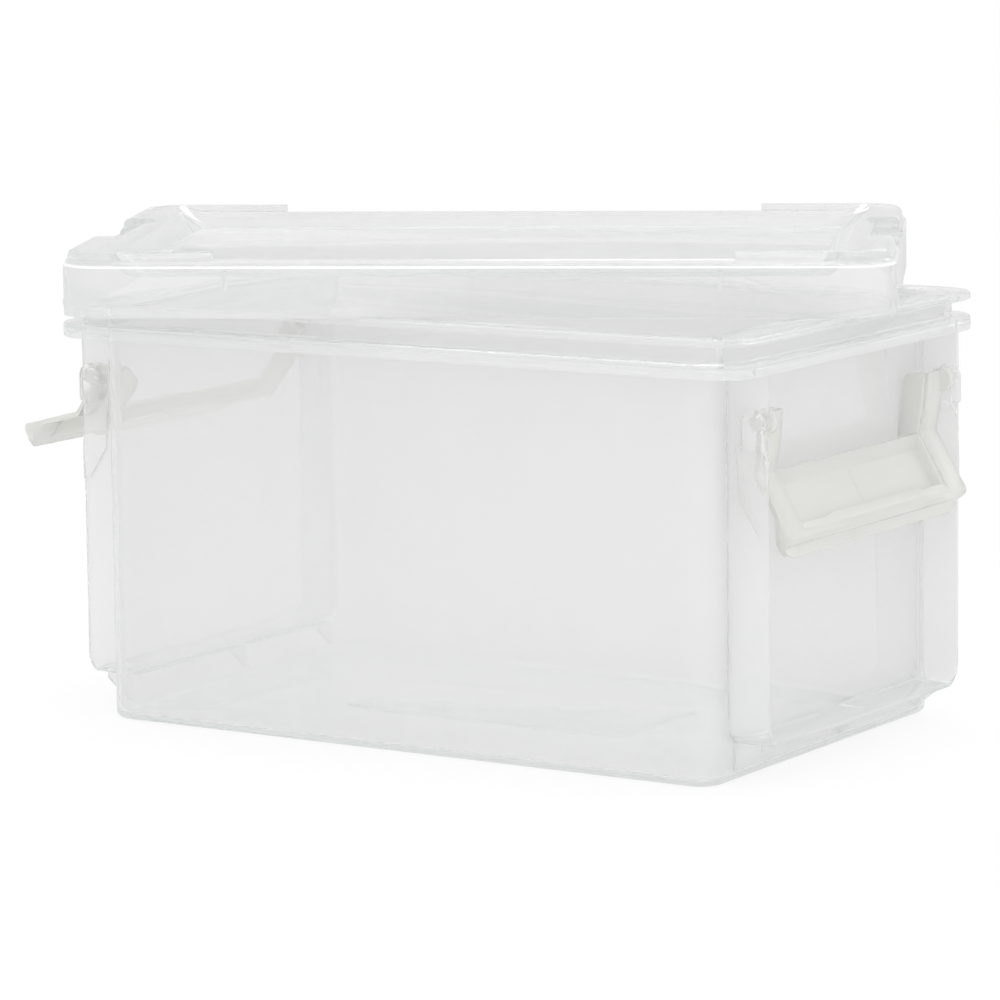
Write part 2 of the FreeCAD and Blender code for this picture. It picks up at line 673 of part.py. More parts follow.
def build_latch(name):
    """Latch drawn about its pivot axis, hanging straight down; +X of the sketch faces outwards."""
    body = new_body(name)
    # unit normal of the sloping lower half, pointing inwards
    run = "(brim_end_face - knee_face)"
    drop = "(brim_end_drop - knee_drop)"
    slope = "((%s * %s + %s * %s) ^ (1 / 2))" % (run, run, drop, drop)
    across_x = "(sheet_thick * %s / %s)" % (drop, slope)
    across_z = "(sheet_thick * %s / %s)" % (run, slope)

    bar = [
        ("bar_back_face", "-bar_top_drop"),
        ("(knee_face + %s * (bar_top_drop - knee_drop) / %s)" % (run, drop), "-bar_top_drop"),
        ("brim_end_face", "-brim_end_drop"),
        ("bar_tip_face", "-bar_tip_drop"),
        ("bar_under_face", "-bar_under_drop"),
        ("bar_heel_face", "-bar_heel_drop"),
        ("bar_heel_face", "-bar_foot_drop"),
        ("bar_back_face", "-bar_foot_drop"),
    ]
    # in the middle the bar stands clear of the brim plane, so only its lower half is there
    low_bar = [
        ("bar_back_face", "-tray_floor_drop"),
        ("bar_back_face + sheet_thick", "-(brim_end_drop - sheet_thick)"),
        ("brim_end_face", "-brim_end_drop"),
        ("bar_tip_face", "-bar_tip_drop"),
        ("bar_under_face", "-bar_under_drop"),
        ("bar_heel_face", "-bar_heel_drop"),
        ("bar_heel_face", "-bar_foot_drop"),
        ("bar_back_face", "-bar_foot_drop"),
    ]
    sketch = outline(body, "bar_outline", "XZ_Plane", low_bar, "-brim_half_span")
    pad(body, "bar", sketch, "brim_half_span * 2")

    brim = [
        ("arm_face", "arm_top"),
        ("arm_bend_face", "-arm_bend_drop"),
        ("knee_face", "-knee_drop"),
        ("brim_end_face", "-brim_end_drop"),
        ("brim_end_face - %s" % across_x, "-(brim_end_drop + %s)" % across_z),
        ("knee_face - sheet_thick", "-(knee_drop + %s)" % across_z),
        ("arm_bend_face - sheet_thick", "-arm_bend_drop"),
        ("arm_face - sheet_thick", "arm_top"),
    ]
    web = [
        ("arm_face - sheet_thick / 2", "arm_top"),
        ("arm_bend_face - sheet_thick / 2", "-arm_bend_drop"),
        ("knee_face - sheet_thick / 4", "-knee_drop"),
        ("brim_end_face - %s / 2" % across_x, "-(brim_end_drop + %s / 2)" % across_z),
        ("web_foot_face + sheet_thick / 2", "-web_foot_drop"),
        ("web_foot_face", "-web_foot_drop"),
        ("web_knee_face", "-(knee_drop + sheet_thick)"),
        ("web_top_face", "web_top - sheet_thick"),
        ("web_top_face + sheet_thick", "arm_top"),
    ]
    for tag, face in (("front", -1), ("back", 1)):
        start = "-brim_half_span" if face > 0 else "opening_half_span"
        sketch = outline(body, "brim_outline_" + tag, "XZ_Plane", brim, start)
        pad(body, "brim_" + tag, sketch, "brim_half_span - opening_half_span")
        start = "-brim_half_span" if face > 0 else "opening_half_span"
        sketch = outline(body, "bar_end_outline_" + tag, "XZ_Plane", bar, start)
        pad(body, "bar_end_" + tag, sketch, "brim_half_span - opening_half_span")
        start = "-opening_half_span" if face > 0 else "opening_half_span - sheet_thick"
        sketch = outline(body, "web_outline_" + tag, "XZ_Plane", web, start)
        pad(body, "web_" + tag, sketch, "sheet_thick")

    tray = [
        ("knee_face", "-knee_drop"),
        ("tray_lip_face", "-tray_lip_drop"),
        ("tray_floor_face", "-tray_floor_drop"),
        ("tray_floor_face - %s" % across_x, "-(tray_floor_drop + %s)" % across_z),
        ("tray_lip_face - sheet_thick", "-(tray_lip_drop + %s / 2)" % across_z),
        ("knee_face - sheet_thick", "-knee_drop"),
    ]
    sketch = outline(body, "tray_outline", "XZ_Plane", tray, "-(opening_half_span - sheet_thick / 2)")
    pad(body, "tray", sketch, "opening_half_span * 2 - sheet_thick")

    thumb = [
        ("bar_back_face + sheet_thick / 2", "-(tray_floor_drop + sheet_thick / 2)"),
        ("bar_back_face + sheet_thick", "-thumb_top_drop"),
        ("brim_end_face", "-thumb_top_drop"),
        ("brim_end_face + thumb_proud", "-(brim_end_drop - thumb_proud / 4)"),
        ("bar_tip_face + thumb_proud", "-bar_tip_drop"),
        ("bar_under_face + thumb_proud / 2", "-bar_under_drop"),
        ("bar_heel_face", "-bar_heel_drop"),
    ]
    sketch = outline(body, "thumb_outline", "XZ_Plane", thumb, "-thumb_half_span")
    pad(body, "thumb", sketch, "thumb_half_span * 2")

    # rounded lower corners of the bar
    for tag, turn in (("front", "-"), ("back", "")):
        corner = outline(body, "corner_outline_" + tag, "YZ_Plane", [
            (turn + "(brim_half_span - bar_corner_radius)", "-bar_foot_drop - overrun"),
            (turn + "(brim_half_span + overrun)", "-bar_foot_drop - overrun"),
            (turn + "(brim_half_span + overrun)", "-(bar_foot_drop - bar_corner_radius)"),
            (turn + "brim_half_span", "-(bar_foot_drop - bar_corner_radius)"),
        ] + [
            (turn + "(brim_half_span - bar_corner_radius + bar_corner_radius * cos(%d))" % angle,
             "-(bar_foot_drop - bar_corner_radius + bar_corner_radius * sin(%d))" % angle)
            for angle in (15, 30, 45, 60, 75)
        ] + [
            (turn + "(brim_half_span - bar_corner_radius)", "-bar_foot_drop"),
        ], "-overrun * 2")
        cut(body, "corner_" + tag, corner, "overrun * 6")

    # ears, hubs and pins
    for tag, face in (("front", -1), ("back", 1)):
        for word, radius, low, high in (
                ("ear", "ear_radius", "brim_half_span - ear_thick", "brim_half_span"),
                ("hub", "hub_radius", "brim_half_span - ear_thick", "hub_end"),
                ("pin", "pin_radius", "brim_half_span - ear_thick",
                 "fin_half_span + dome_proud - dome_roof - pin_end_gap")):
            post = body.newObject("PartDesign::AdditiveCylinder", "%s_%s" % (word, tag))
            put(post, body, "XZ_Plane", z="-(%s)" % high if face > 0 else low)
            bind(post, Radius=radius, Height="(%s) - (%s)" % (high, low))
            doc.recompute()
    return body


tub = build_tub()
lid = build_lid()
right = build_latch("latch_right")
right.Placement = FreeCAD.Placement(
    FreeCAD.Vector(value("pivot_half_span"), 0, value("pivot_height")), FreeCAD.Rotation())
left = build_latch("latch_left")
half_swing = math.radians(value("left_latch_swing")) / 2
left.Placement = FreeCAD.Placement(
    FreeCAD.Vector(-value("pivot_half_span"), 0, value("pivot_height")),
    FreeCAD.Rotation(FreeCAD.Vector(math.sin(half_swing), 0, math.cos(half_swing)), 180))
right.setExpression(".Placement.Base.x", "sizes.pivot_half_span")
left.setExpression(".Placement.Base.x", "-sizes.pivot_half_span")
for latch in (right, left):
    latch.setExpression(".Placement.Base.z", "sizes.pivot_height")
doc.recompute()

os.makedirs("parts", exist_ok=True)
for item in doc.Objects:
    if "Invalid" in item.State or "Error" in item.State:
        raise RuntimeError("%s: %s" % (item.Label, item.State))
for body in (tub, lid, left, right):
    shape = body.Shape
    if shape.isNull() or not shape.isValid() or len(shape.Solids) != 1:
        raise RuntimeError("%s is not one valid solid (%d)" % (body.Label, len(shape.Solids)))
    shape.exportStep("parts/%s.step" % body.Label)
    bounds = shape.BoundBox
    print("%s volume %.0f box %.2f %.2f %.2f to %.2f %.2f %.2f" % (
        body.Label, shape.Volume, bounds.XMin, bounds.YMin, bounds.ZMin,
        bounds.XMax, bounds.YMax, bounds.ZMax))
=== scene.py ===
import math

import bmesh
import bpy
from mathutils import Matrix, Vector


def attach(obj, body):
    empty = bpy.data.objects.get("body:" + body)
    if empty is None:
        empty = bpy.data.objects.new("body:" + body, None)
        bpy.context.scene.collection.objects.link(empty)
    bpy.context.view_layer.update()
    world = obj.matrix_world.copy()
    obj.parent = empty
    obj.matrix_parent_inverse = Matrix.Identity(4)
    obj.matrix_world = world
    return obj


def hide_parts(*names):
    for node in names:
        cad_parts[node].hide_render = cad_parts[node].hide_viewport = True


# A clear photo keeper case: a moulded tub with two swinging end latches and a loose lid.
# Outlines are in millimetres. Finished pieces are in metres, in the frame of the solids: X runs along the
# case, and Z up from the bottom of the tub.

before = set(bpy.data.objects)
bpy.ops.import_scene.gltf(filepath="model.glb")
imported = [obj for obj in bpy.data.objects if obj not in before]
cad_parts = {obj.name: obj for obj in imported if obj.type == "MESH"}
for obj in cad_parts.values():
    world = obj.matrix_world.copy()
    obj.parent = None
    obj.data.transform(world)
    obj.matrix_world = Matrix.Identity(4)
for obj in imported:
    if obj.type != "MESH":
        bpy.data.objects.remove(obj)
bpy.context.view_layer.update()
MM = 0.001

# where the pieces stand, in millimetres and degrees
PIVOT_X, PIVOT_Z = 149.8, 133.1             # axis of a latch's pins
LATCH_RAISED = 45                           # the left latch, up from hanging
LID_X, LID_Y, LID_Z = -13.5, 10.2, 165.1    # middle of the lid's lower edge
LID_TURN = 26.64                            # the lid lies askew on the rim
# the lid's white line is a painted highlight: a band of glow, not a reflection of a lamp
LID_PAINTED_HIGHLIGHT_HEIGHT = 19                               # height of the white line on the lid's skirt

# how finely round shapes are drawn, which edges are sharp, and how near two points count as one
CORNER_STEPS = 10
ROUND_STEPS = 40
SHARP = math.radians(20)
SMOOTH_UP_TO = math.radians(36)
WELD_GAP = 0.002
POLE_GAP = 0.0001


def linear(hex_code):
    """sRGB hex to the linear colour that a shader takes."""
    out = []
    for i in (0, 2, 4):
        c = int(hex_code[i:i + 2], 16) / 255
        out.append(c / 12.92 if c <= 0.04045 else ((c + 0.055) / 1.055) ** 2.4)
    return (*out, 1.0)


# ---- materials

def new_material(name):
    """A material without nodes, ready for its own."""
    mat = bpy.data.materials.new(name)
    mat.use_nodes = True
    mat.node_tree.nodes.clear()
    return mat


def add(tree, kind, settings=None, links=None, values=None):
    """One node with its settings, its socket values and its incoming links."""
    node = tree.nodes.new(kind)
    for key, val in (settings or {}).items():
        setattr(node, key, val)
    for key, val in (values or {}).items():
        node.inputs[key].default_value = val
    for key, source in (links or {}).items():
        tree.links.new(source, node.inputs[key])
    return node


def milky(tree, shader, tint, painted_glow_colour):
    """Thin milky plastic. A lamp's ray goes on through it, dimmed by the tint, so it throws only a faint
    shadow. Where light has been mirrored twice or has met eight surfaces, the path ends in a painted glow: an
    emission of the glow colour stands in for the light the haze would pass on, so these places are not black."""
    path = add(tree, "ShaderNodeLightPath")
    # caught: light that has been mirrored twice
    caught = add(tree, "ShaderNodeMath", {"operation": "GREATER_THAN"},
                 links={0: path.outputs["Glossy Depth"]}, values={1: 1.5})
    # deep: light that has met eight surfaces
    deep = add(tree, "ShaderNodeMath", {"operation": "GREATER_THAN"},
               links={0: path.outputs["Ray Depth"]}, values={1: 7.5})
    # painted glow mask: 1 where the light path is cut off and the emission below takes its place
    painted_glow_mask = add(tree, "ShaderNodeMath", {"operation": "MAXIMUM"},
               links={0: caught.outputs[0], 1: deep.outputs[0]})
    # painted glow: a pale emission that stands in for light, though the plastic is no lamp
    glow = add(tree, "ShaderNodeEmission", values={"Color": linear(painted_glow_colour)})
    body = add(tree, "ShaderNodeMixShader",
               links={0: painted_glow_mask.outputs[0], 1: shader.outputs["BSDF"], 2: glow.outputs["Emission"]})
    film = add(tree, "ShaderNodeBsdfTransparent", values={"Color": linear(tint)})
    return add(tree, "ShaderNodeMixShader", links={
        0: path.outputs["Is Shadow Ray"], 1: body.outputs["Shader"], 2: film.outputs["BSDF"]})


def clear_polypropylene(name, crown=-1.0):
    """Clarified polypropylene, injection moulded: glassy skin over a faint milky haze, a little wavy where
    the melt flowed. A painted highlight, a thin white line of glow, is drawn where the lid's skirt turns into
    its crown, at the crown's height in metres, in place of a lamp's reflection there. A crown below the floor
    means no line."""
    mat = new_material(name)
    tree = mat.node_tree
    place = add(tree, "ShaderNodeTexCoord").outputs["Object"]
    # flow waves about 45 mm apart
    flow = add(tree, "ShaderNodeTexNoise", values={"Scale": 22.0, "Detail": 2.0, "Roughness": 0.5},
               links={"Vector": place})
    # haze mottle about 30 mm across
    haze = add(tree, "ShaderNodeTexNoise", values={"Scale": 33.0, "Detail": 3.0, "Roughness": 0.6},
               links={"Vector": place})
    rough = add(tree, "ShaderNodeMapRange", values={"To Min": 0.04, "To Max": 0.11},
                links={"Value": haze.outputs["Fac"]})
    thin = add(tree, "ShaderNodeMapRange", values={"To Min": 0.84, "To Max": 0.78},
               links={"Value": haze.outputs["Fac"]})
    bump = add(tree, "ShaderNodeBump", values={"Strength": 0.06, "Distance": 0.0004},
               links={"Height": flow.outputs["Fac"]})
    height = add(tree, "ShaderNodeSeparateXYZ", links={"Vector": place}).outputs["Z"]
    facing = add(tree, "ShaderNodeNewGeometry").outputs["Normal"]
    tilt = add(tree, "ShaderNodeSeparateXYZ", links={"Vector": facing}).outputs["Z"]
    # the painted highlight line is 0.6 mm high, on the outer face only, which has begun to turn upwards there
    half_line = 0.3 * MM
    crown_tilt, tilt_reach = 0.3, 0.22
    line = add(tree, "ShaderNodeMath", {"operation": "COMPARE"},
               links={0: height}, values={1: crown, 2: half_line})
    turn = add(tree, "ShaderNodeMath", {"operation": "COMPARE"},
               links={0: tilt}, values={1: crown_tilt, 2: tilt_reach})
    on_painted_highlight = add(tree, "ShaderNodeMath", {"operation": "MULTIPLY"},
                  links={0: line.outputs[0], 1: turn.outputs[0]})
    # painted highlight: the band glows white at a quarter strength
    painted_highlight_strength = add(tree, "ShaderNodeMath", {"operation": "MULTIPLY"},
                    links={0: on_painted_highlight.outputs[0]}, values={1: 0.25})
    # the real IOR is 1.49; it is set lower so that edges stay as pale as those of a thin milky sheet
    shader = add(tree, "ShaderNodeBsdfPrincipled",
                 values={"Base Color": linear("FDFDFD"), "IOR": 1.18, "Emission Color": (1, 1, 1, 1),
                         "Coat Weight": 0.6, "Coat Roughness": 0.06, "Coat IOR": 1.49},
                 links={"Roughness": rough.outputs["Result"], "Normal": bump.outputs["Normal"],
                        "Transmission Weight": thin.outputs["Result"],
                        "Emission Strength": painted_highlight_strength.outputs[0]})
    # the clear plastic's cut-off light comes out as a painted glow of pale grey
    add(tree, "ShaderNodeOutputMaterial",
        links={"Surface": milky(tree, shader, tint="F4F5F5", painted_glow_colour="D7DADA").outputs["Shader"]})
    return mat


def frosted_polypropylene():
    """Natural polypropylene, moulded with a fine matt skin: milky, lets light through, shows little behind
    it."""
    mat = new_material("frosted_polypropylene_moulded")
    tree = mat.node_tree
    place = add(tree, "ShaderNodeTexCoord").outputs["Object"]
    # spark-eroded skin, whose grain is finer than can show, drawn at 1 mm so that it does
    skin = add(tree, "ShaderNodeTexNoise", values={"Scale": 1000.0, "Detail": 2.0}, links={"Vector": place})
    # milky clouds about 14 mm across
    cloud = add(tree, "ShaderNodeTexNoise", values={"Scale": 70.0, "Detail": 2.0}, links={"Vector": place})
    rough = add(tree, "ShaderNodeMapRange", values={"To Min": 0.30, "To Max": 0.42},
                links={"Value": cloud.outputs["Fac"]})
    bump = add(tree, "ShaderNodeBump", values={"Strength": 0.1, "Distance": 0.0002},
               links={"Height": skin.outputs["Fac"]})
    # the real IOR is 1.49; it is a little lower here so that the folds of the grip stay pale
    shader = add(tree, "ShaderNodeBsdfPrincipled",
                 values={"Base Color": linear("FBFBF8"), "IOR": 1.4, "Transmission Weight": 0.6,
                         "Coat Weight": 0.35, "Coat Roughness": 0.16, "Coat IOR": 1.49},
                 links={"Roughness": rough.outputs["Result"], "Normal": bump.outputs["Normal"]})
    # the frosted plastic's cut-off light comes out as a painted glow of pale warm grey
    add(tree, "ShaderNodeOutputMaterial",
        links={"Surface": milky(tree, shader, tint="C8C8C5", painted_glow_colour="D2D2CD").outputs["Shader"]})
    return mat


clear = clear_polypropylene("clear_polypropylene_moulded")
# the lid's material carries the painted highlight line on its skirt
clear_lid_painted_highlight = clear_polypropylene("clear_polypropylene_lid", crown=(LID_Z + LID_PAINTED_HIGHLIGHT_HEIGHT) * MM)
frosted = frosted_polypropylene()

# ---- shapes

def outwards(bm):
    """Faces of a closed shape turned to point out of it."""
    bmesh.ops.recalc_face_normals(bm, faces=bm.faces[:])
    if bm.calc_volume(signed=True) < 0:
        bmesh.ops.reverse_faces(bm, faces=bm.faces[:])


def swept(rings):
    """Closed shape through rounded rectangles, each given by half length, half width, corner radius and
    height. The last face is pushed on from ring to ring, and its points keep their places in the corners."""
    x, y, r, z = rings[0]
    bm = bmesh.new()
    corners = [bm.verts.new((sx * x, sy * y, z)) for sx, sy in ((1, 1), (-1, 1), (-1, -1), (1, -1))]
    face = bm.faces.new(corners)
    bmesh.ops.bevel(bm, geom=face.verts[:], offset=r, offset_type="OFFSET", segments=CORNER_STEPS,
                    profile=0.5, affect="VERTICES", material=-1)
    face = bm.faces[:][0]
    for ring in rings[1:]:
        # the very first face stays as the bottom, and a later one is taken out once it has been pushed on
        last, is_bottom = face, len(bm.faces) == 1
        made = bmesh.ops.extrude_face_region(bm, geom=[face])
        face = [f for f in made["geom"] if isinstance(f, bmesh.types.BMFace)][0]
        if last.is_valid and not is_bottom:
            bmesh.ops.delete(bm, geom=[last], context="FACES_ONLY")
        for v in face.verts:
            along = (abs(v.co.x) - (x - r)) / r
            wide = (abs(v.co.y) - (y - r)) / r
            v.co = Vector((math.copysign(ring[0] - ring[2] + ring[2] * along, v.co.x),
                           math.copysign(ring[1] - ring[2] + ring[2] * wide, v.co.y), ring[3]))
        x, y, r, z = ring
    outwards(bm)
    return bm


def turned(x, y, r, z, edge, start, stop, steps=4):
    """Rings that round an edge of a swept shape, from start to stop degrees. The rounding's centre is at z,
    and lies its radius, edge, inside x and y."""
    rings = []
    for n in range(steps + 1):
        t = math.radians(start + (stop - start) * n / steps)
        step = edge * (1 - math.cos(t))
        rings.append((x - step, y - step, r - step, z + edge * math.sin(t)))
    return rings


def corner_arc(y, z, radius, start, stop, steps=10):
    """Outline points of an arc about y, z, from start to stop degrees."""
    return [(y + radius * math.cos(math.radians(start + (stop - start) * n / steps)),
             z + radius * math.sin(math.radians(start + (stop - start) * n / steps)))
            for n in range(steps + 1)]


def to_side(sign, points):
    """Outline points on the side of the case that the sign gives."""
    return [(sign * a, b) for a, b in points]


def span(sign, near, far):
    """Where a slab starts and stops on the side that the sign gives, in rising order."""
    return sorted((sign * near, sign * far))


def round_edges(bm, edge, segments):
    """Every sharp edge rounded."""
    bmesh.ops.bevel(bm, geom=[e for e in bm.edges if e.calc_face_angle(0) > SHARP], offset=edge,
                    offset_type="OFFSET", segments=segments, profile=0.5, affect="EDGES", material=-1,
                    clamp_overlap=True)


def slab(points, low, high, edge, across="Y", segments=2):
    """Outline pushed out between low and high, its edges rounded. An outline across Y is in X and Z, and one
    across X is in Y and Z."""
    bm = bmesh.new()
    ring = [bm.verts.new((a, low, b) if across == "Y" else (low, a, b)) for a, b in points]
    face = bm.faces.new(ring)
    push = Vector((0, high - low, 0)) if across == "Y" else Vector((high - low, 0, 0))
    made = bmesh.ops.extrude_face_region(bm, geom=[face])
    bmesh.ops.translate(bm, vec=push, verts=[v for v in made["geom"] if isinstance(v, bmesh.types.BMVert)])
    outwards(bm)
    if edge:
        round_edges(bm, edge, segments)
    return bm


def spun(profile, place=(0, 0), side=1):
    """Round shape about an axis along Y at x and z, from pairs of radius and y."""
    bm = bmesh.new()
    line = [bm.verts.new((radius, side * y, 0)) for radius, y in profile]
    edges = [bm.edges.new(pair) for pair in zip(line, line[1:])]
    bmesh.ops.spin(bm, geom=line + edges, cent=(0, 0, 0), axis=(0, 1, 0), angle=2 * math.pi,
                   steps=ROUND_STEPS, use_merge=True)
    bmesh.ops.remove_doubles(bm, verts=bm.verts[:], dist=POLE_GAP)
    bmesh.ops.translate(bm, vec=(place[0], 0, place[1]), verts=bm.verts[:])
    outwards(bm)
    return bm


def loose(bm, name):
    """A scene object on a bmesh, which is freed."""
    mesh = bpy.data.meshes.new(name)
    bm.to_mesh(mesh)
    bm.free()
    made = bpy.data.objects.new(name, mesh)
    bpy.context.scene.collection.objects.link(made)
    return made


def welded(name, first, adds, cuts):
    """One closed moulding from bmesh shapes: adds are joined on one by one, and then cuts are taken out.
    After each step the points that fall together are merged, and the slits that this leaves are closed."""
    for kind, shapes in (("UNION", adds), ("DIFFERENCE", cuts)):
        for shape in shapes:
            base, tool = loose(first, name), loose(shape, name + "_tool")
            join = base.modifiers.new(kind.lower(), "BOOLEAN")
            join.operation, join.object, join.solver = kind, tool, "EXACT"
            depsgraph = bpy.context.evaluated_depsgraph_get()
            done = bpy.data.meshes.new_from_object(base.evaluated_get(depsgraph))
            for used in (base, tool):
                bpy.data.objects.remove(used)
            first = bmesh.new()
            first.from_mesh(done)
            bpy.data.meshes.remove(done)
            bmesh.ops.remove_doubles(first, verts=first.verts[:], dist=WELD_GAP)
            bmesh.ops.dissolve_degenerate(first, edges=first.edges[:], dist=WELD_GAP)
            bmesh.ops.holes_fill(first, edges=[e for e in first.edges if e.is_boundary], sides=4)
    return first


def moved(x, y, z):
    """Move to a place in millimetres, for a shape in metres."""
    return Matrix.Translation((x * MM, y * MM, z * MM))


def shown(bm, name, node, body, mat, place=Matrix.Identity(4)):
    """The finished piece: scaled to metres, put in place, shaded smooth over its rounded edges."""
    bmesh.ops.transform(bm, matrix=place @ Matrix.Scale(MM, 4), verts=bm.verts[:])
    bmesh.ops.recalc_face_normals(bm, faces=bm.faces[:])
    for face in bm.faces:
        face.smooth = True
    for edge in bm.edges:
        edge.smooth = edge.calc_face_angle(0) < SMOOTH_UP_TO
    piece = loose(bm, name)
    piece.data.materials.append(mat)
    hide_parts(node)
    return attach(piece, body)


# ---- pieces

def latch_lip():
    """Lip along the grip for the fingers, straight in the middle and tapered to its ends."""
    thumb = [(5.2, -43), (6.2, -37.4), (9.4, -37.4), (11.4, -39.6), (12.6, -41.9), (10.6, -44.4),
             (6.7, -46.1)]
    end, straight, taper = 46, 32, 0.52
    core_x, core_z = 6.6, -42.3
    lip = slab(thumb, -end, end, 0)
    for y in (straight, -straight):
        bmesh.ops.bisect_plane(lip, geom=lip.verts[:] + lip.edges[:] + lip.faces[:], plane_co=(0, y, 0),
                               plane_no=(0, 1, 0))
    for v in lip.verts:
        if abs(v.co.y) > straight + 1:
            core = Vector((core_x, v.co.y, core_z))
            v.co = core + taper * (v.co - core)
    round_edges(lip, 0.8, 2)
    return lip


def latch_moulding():
    """Latch as it hangs from its pivot axis: x outwards from the axis, z up from it."""
    grip = [(4.2, -42), (6.2, -38.1), (9.4, -40.1), (10.6, -41.9), (9.6, -44.4), (6.9, -46.2), (6.9, -50.3),
            (4.2, -50.3)]
    side_arm = [(0.6, 3.4), (-0.3, -7), (-2.8, -19.6), (9.4, -40.1), (10.6, -41.9), (9.6, -44.4),
                (6.9, -46.2), (6.9, -50.3), (4.2, -50.3), (4.2, -35.4), (-4.8, -20.6), (-2.3, -7),
                (-1.4, 3.4)]
    # the web that stiffens the arm on its inner side
    web = [(-0.5, 3.2), (-1.4, -7), (-3.4, -19.7), (8.4, -40.7), (5.6, -46), (4.6, -46), (-12.2, -21.6),
           (-9.8, 0.4), (-7.8, 3.2)]
    # boss and pin, as radius and y: the pin itself is 2.75 in radius
    pin = [(0, 66.4), (4.2, 66.4), (4.6, 66.8), (4.6, 68.5), (4.25, 68.93), (3.9, 69.2), (3.9, 71.6),
           (3.6, 71.9), (2.75, 71.9), (2.75, 75.1), (2.4, 75.5), (0, 75.5)]
    # the sunk tray between the arms, and the faint seam across its middle
    tray = [(-2.8, -19.6), (-4, -26), (5.4, -42), (3.7, -43), (-6, -26.5), (-4.8, -19.6)]
    seam = [(-3.66, -26.96), (-3.4, -26.81), (4.7, -40.6), (4.44, -40.75)]
    adds = []
    for sign in (1, -1):
        adds += [slab(side_arm, *span(sign, 56.3, 69), 0.5), slab(web, *span(sign, 54.3, 56.5), 0.45),
                 spun(pin, side=sign)]
    adds += [slab(tray, -55.3, 55.3, 0.4), latch_lip(), slab(seam, -0.5, 0.5, 0)]
    # the grip's lower corners are rounded to 10 mm
    corner = corner_arc(59, -40.3, 10, 0, -90, 12) + [(59, -56), (75, -56), (75, -40.3)]
    cuts = [slab(to_side(sign, corner), -20, 30, 0, "X") for sign in (1, -1)]
    return welded("latch", slab(grip, -69, 69, 0.5), adds, cuts)


def tub_rings():
    """Half length, half width, corner radius and height, from the bottom up the outside, round the double rim
    and down the inside."""
    wall, inside = (136.75, 86.25, 10), (134.75, 84.25, 8)
    collar, collar_inset = (148, 88.8, 12), (148.5, 89.3, 12.5)
    rim, lip = (154.2, 97, 18), (152.4, 95.2, 16.2)
    # bottom edge and outer wall, then the hollow under the lower flange
    rings = turned(*wall, 3, 3, -90, 0, 6)
    rings += [(*wall, 149.4), (137.35, 86.6, 10.4, 150.4), (*collar, 150.4), (*collar, 153.4),
              (*collar_inset, 153.9), (151.9, 94.7, 15.7, 153.9), (*lip, 153.4), (*lip, 150.7),
              (152.7, 95.5, 16.5, 150.4)]
    # lower flange, collar and upper flange
    rings += turned(*rim, 151.2, 0.8, -90, 0) + turned(*rim, 155.2, 0.7, 0, 90)
    rings += [(*collar_inset, 155.9), (*collar, 156.4), (*collar, 161.7), (*collar_inset, 162.2)]
    rings += turned(*rim, 162.7, 0.5, -90, 0) + turned(*rim, 164.2, 0.8, 0, 90)
    # over the mouth's edge and down to the floor
    rings += [(135.55, 85.05, 8.8, 165), (134.98, 84.48, 8.23, 164.77), (*inside, 164.2)]
    rings += turned(*inside, 4.7, 2.5, 0, -90, 6)
    # the raised panel of the floor
    return rings + [(64.5, 29.5, 6.5, 2.2), (64.1, 29.1, 6.1, 2.6), (63.9, 28.9, 5.9, 2.9),
                    (63.5, 28.5, 5.5, 3.0)]


def tub_moulding():
    """Tub with its fins, gussets, pin domes and sockets at both ends."""
    adds, cuts = [], []
    # two fins and the shelf between their feet are one band of sheet, with rounded lower corners
    fin_outside, fin_inside, fin_top = 74.5, 72.5, 154.9
    corner_y, corner_z, outer_radius, inner_radius = 65.5, 22.7, 9, 7
    band = [(-fin_outside, fin_top)] + corner_arc(-corner_y, corner_z, outer_radius, 180, 270)
    band += corner_arc(corner_y, corner_z, outer_radius, 270, 360)
    band += [(fin_outside, fin_top), (fin_inside, fin_top)]
    band += corner_arc(corner_y, corner_z, inner_radius, 360, 270)
    band += corner_arc(-corner_y, corner_z, inner_radius, 270, 180) + [(-fin_inside, fin_top)]
    # gussets under the shelf: the two outer ones run into the band's rounded corners
    gusset_foot = [(135.75, 4.5), (138.35, 4.5), (147.75, 12.1)]
    gussets = ((-69.5, 15.8), (9, 14.7), (69.5, 15.8))
    # dome over a pin's end, the strip below it, and the lead-in groove behind them
    dome = corner_arc(148.85, PIVOT_Z, 4.83, 0, 180, 16) + [(144.02, 123.2), (153.68, 123.2)]
    strip = [(141, 124.4), (142.5, 105), (150.5, 92), (153.74, 92), (153.74, 105), (152.2, 124.4)]
    groove = [(142.2, 133.4), (143.7, 105), (151.7, 93.2), (159.8, 93.2), (159.8, 105), (151, 123.2),
              (151, 133.4)]
    socket = [(0, 65.7), (2.81, 65.7), (2.81, 75.7), (2.5, 76), (0, 76)]
    # room behind the fins, up into the collar: bottom, top and half span
    rooms = ((144, 152, 72.3), (150.6, 162.2, 76.8))
    for end in (1, -1):
        adds.append(slab(band, *span(end, 136.05, 153.8), 0.35, "X"))
        for y, root in gussets:
            gusset = gusset_foot + [(147.75, root), (135.75, root)]
            adds.append(slab(to_side(end, gusset), y - 1, y + 1, 0.3))
        for side in (1, -1):
            adds.append(slab(to_side(end, dome), *span(side, 73.5, 77.1), 0.8, segments=4))
            adds.append(slab(to_side(end, strip), *span(side, 73.5, 75.3), 0.3))
            cuts.append(slab(to_side(end, groove), *span(side, 66.5, 73.35), 0))
            cuts.append(spun(socket, (end * PIVOT_X, PIVOT_Z), side))
        for bottom, top, reach in rooms:
            room = [(136.76, bottom), (146, bottom), (146, top), (136.76, top)]
            cuts.append(slab(to_side(end, room), -reach, reach, 0.5))
    return welded("tub", swept(tub_rings()), adds, cuts)


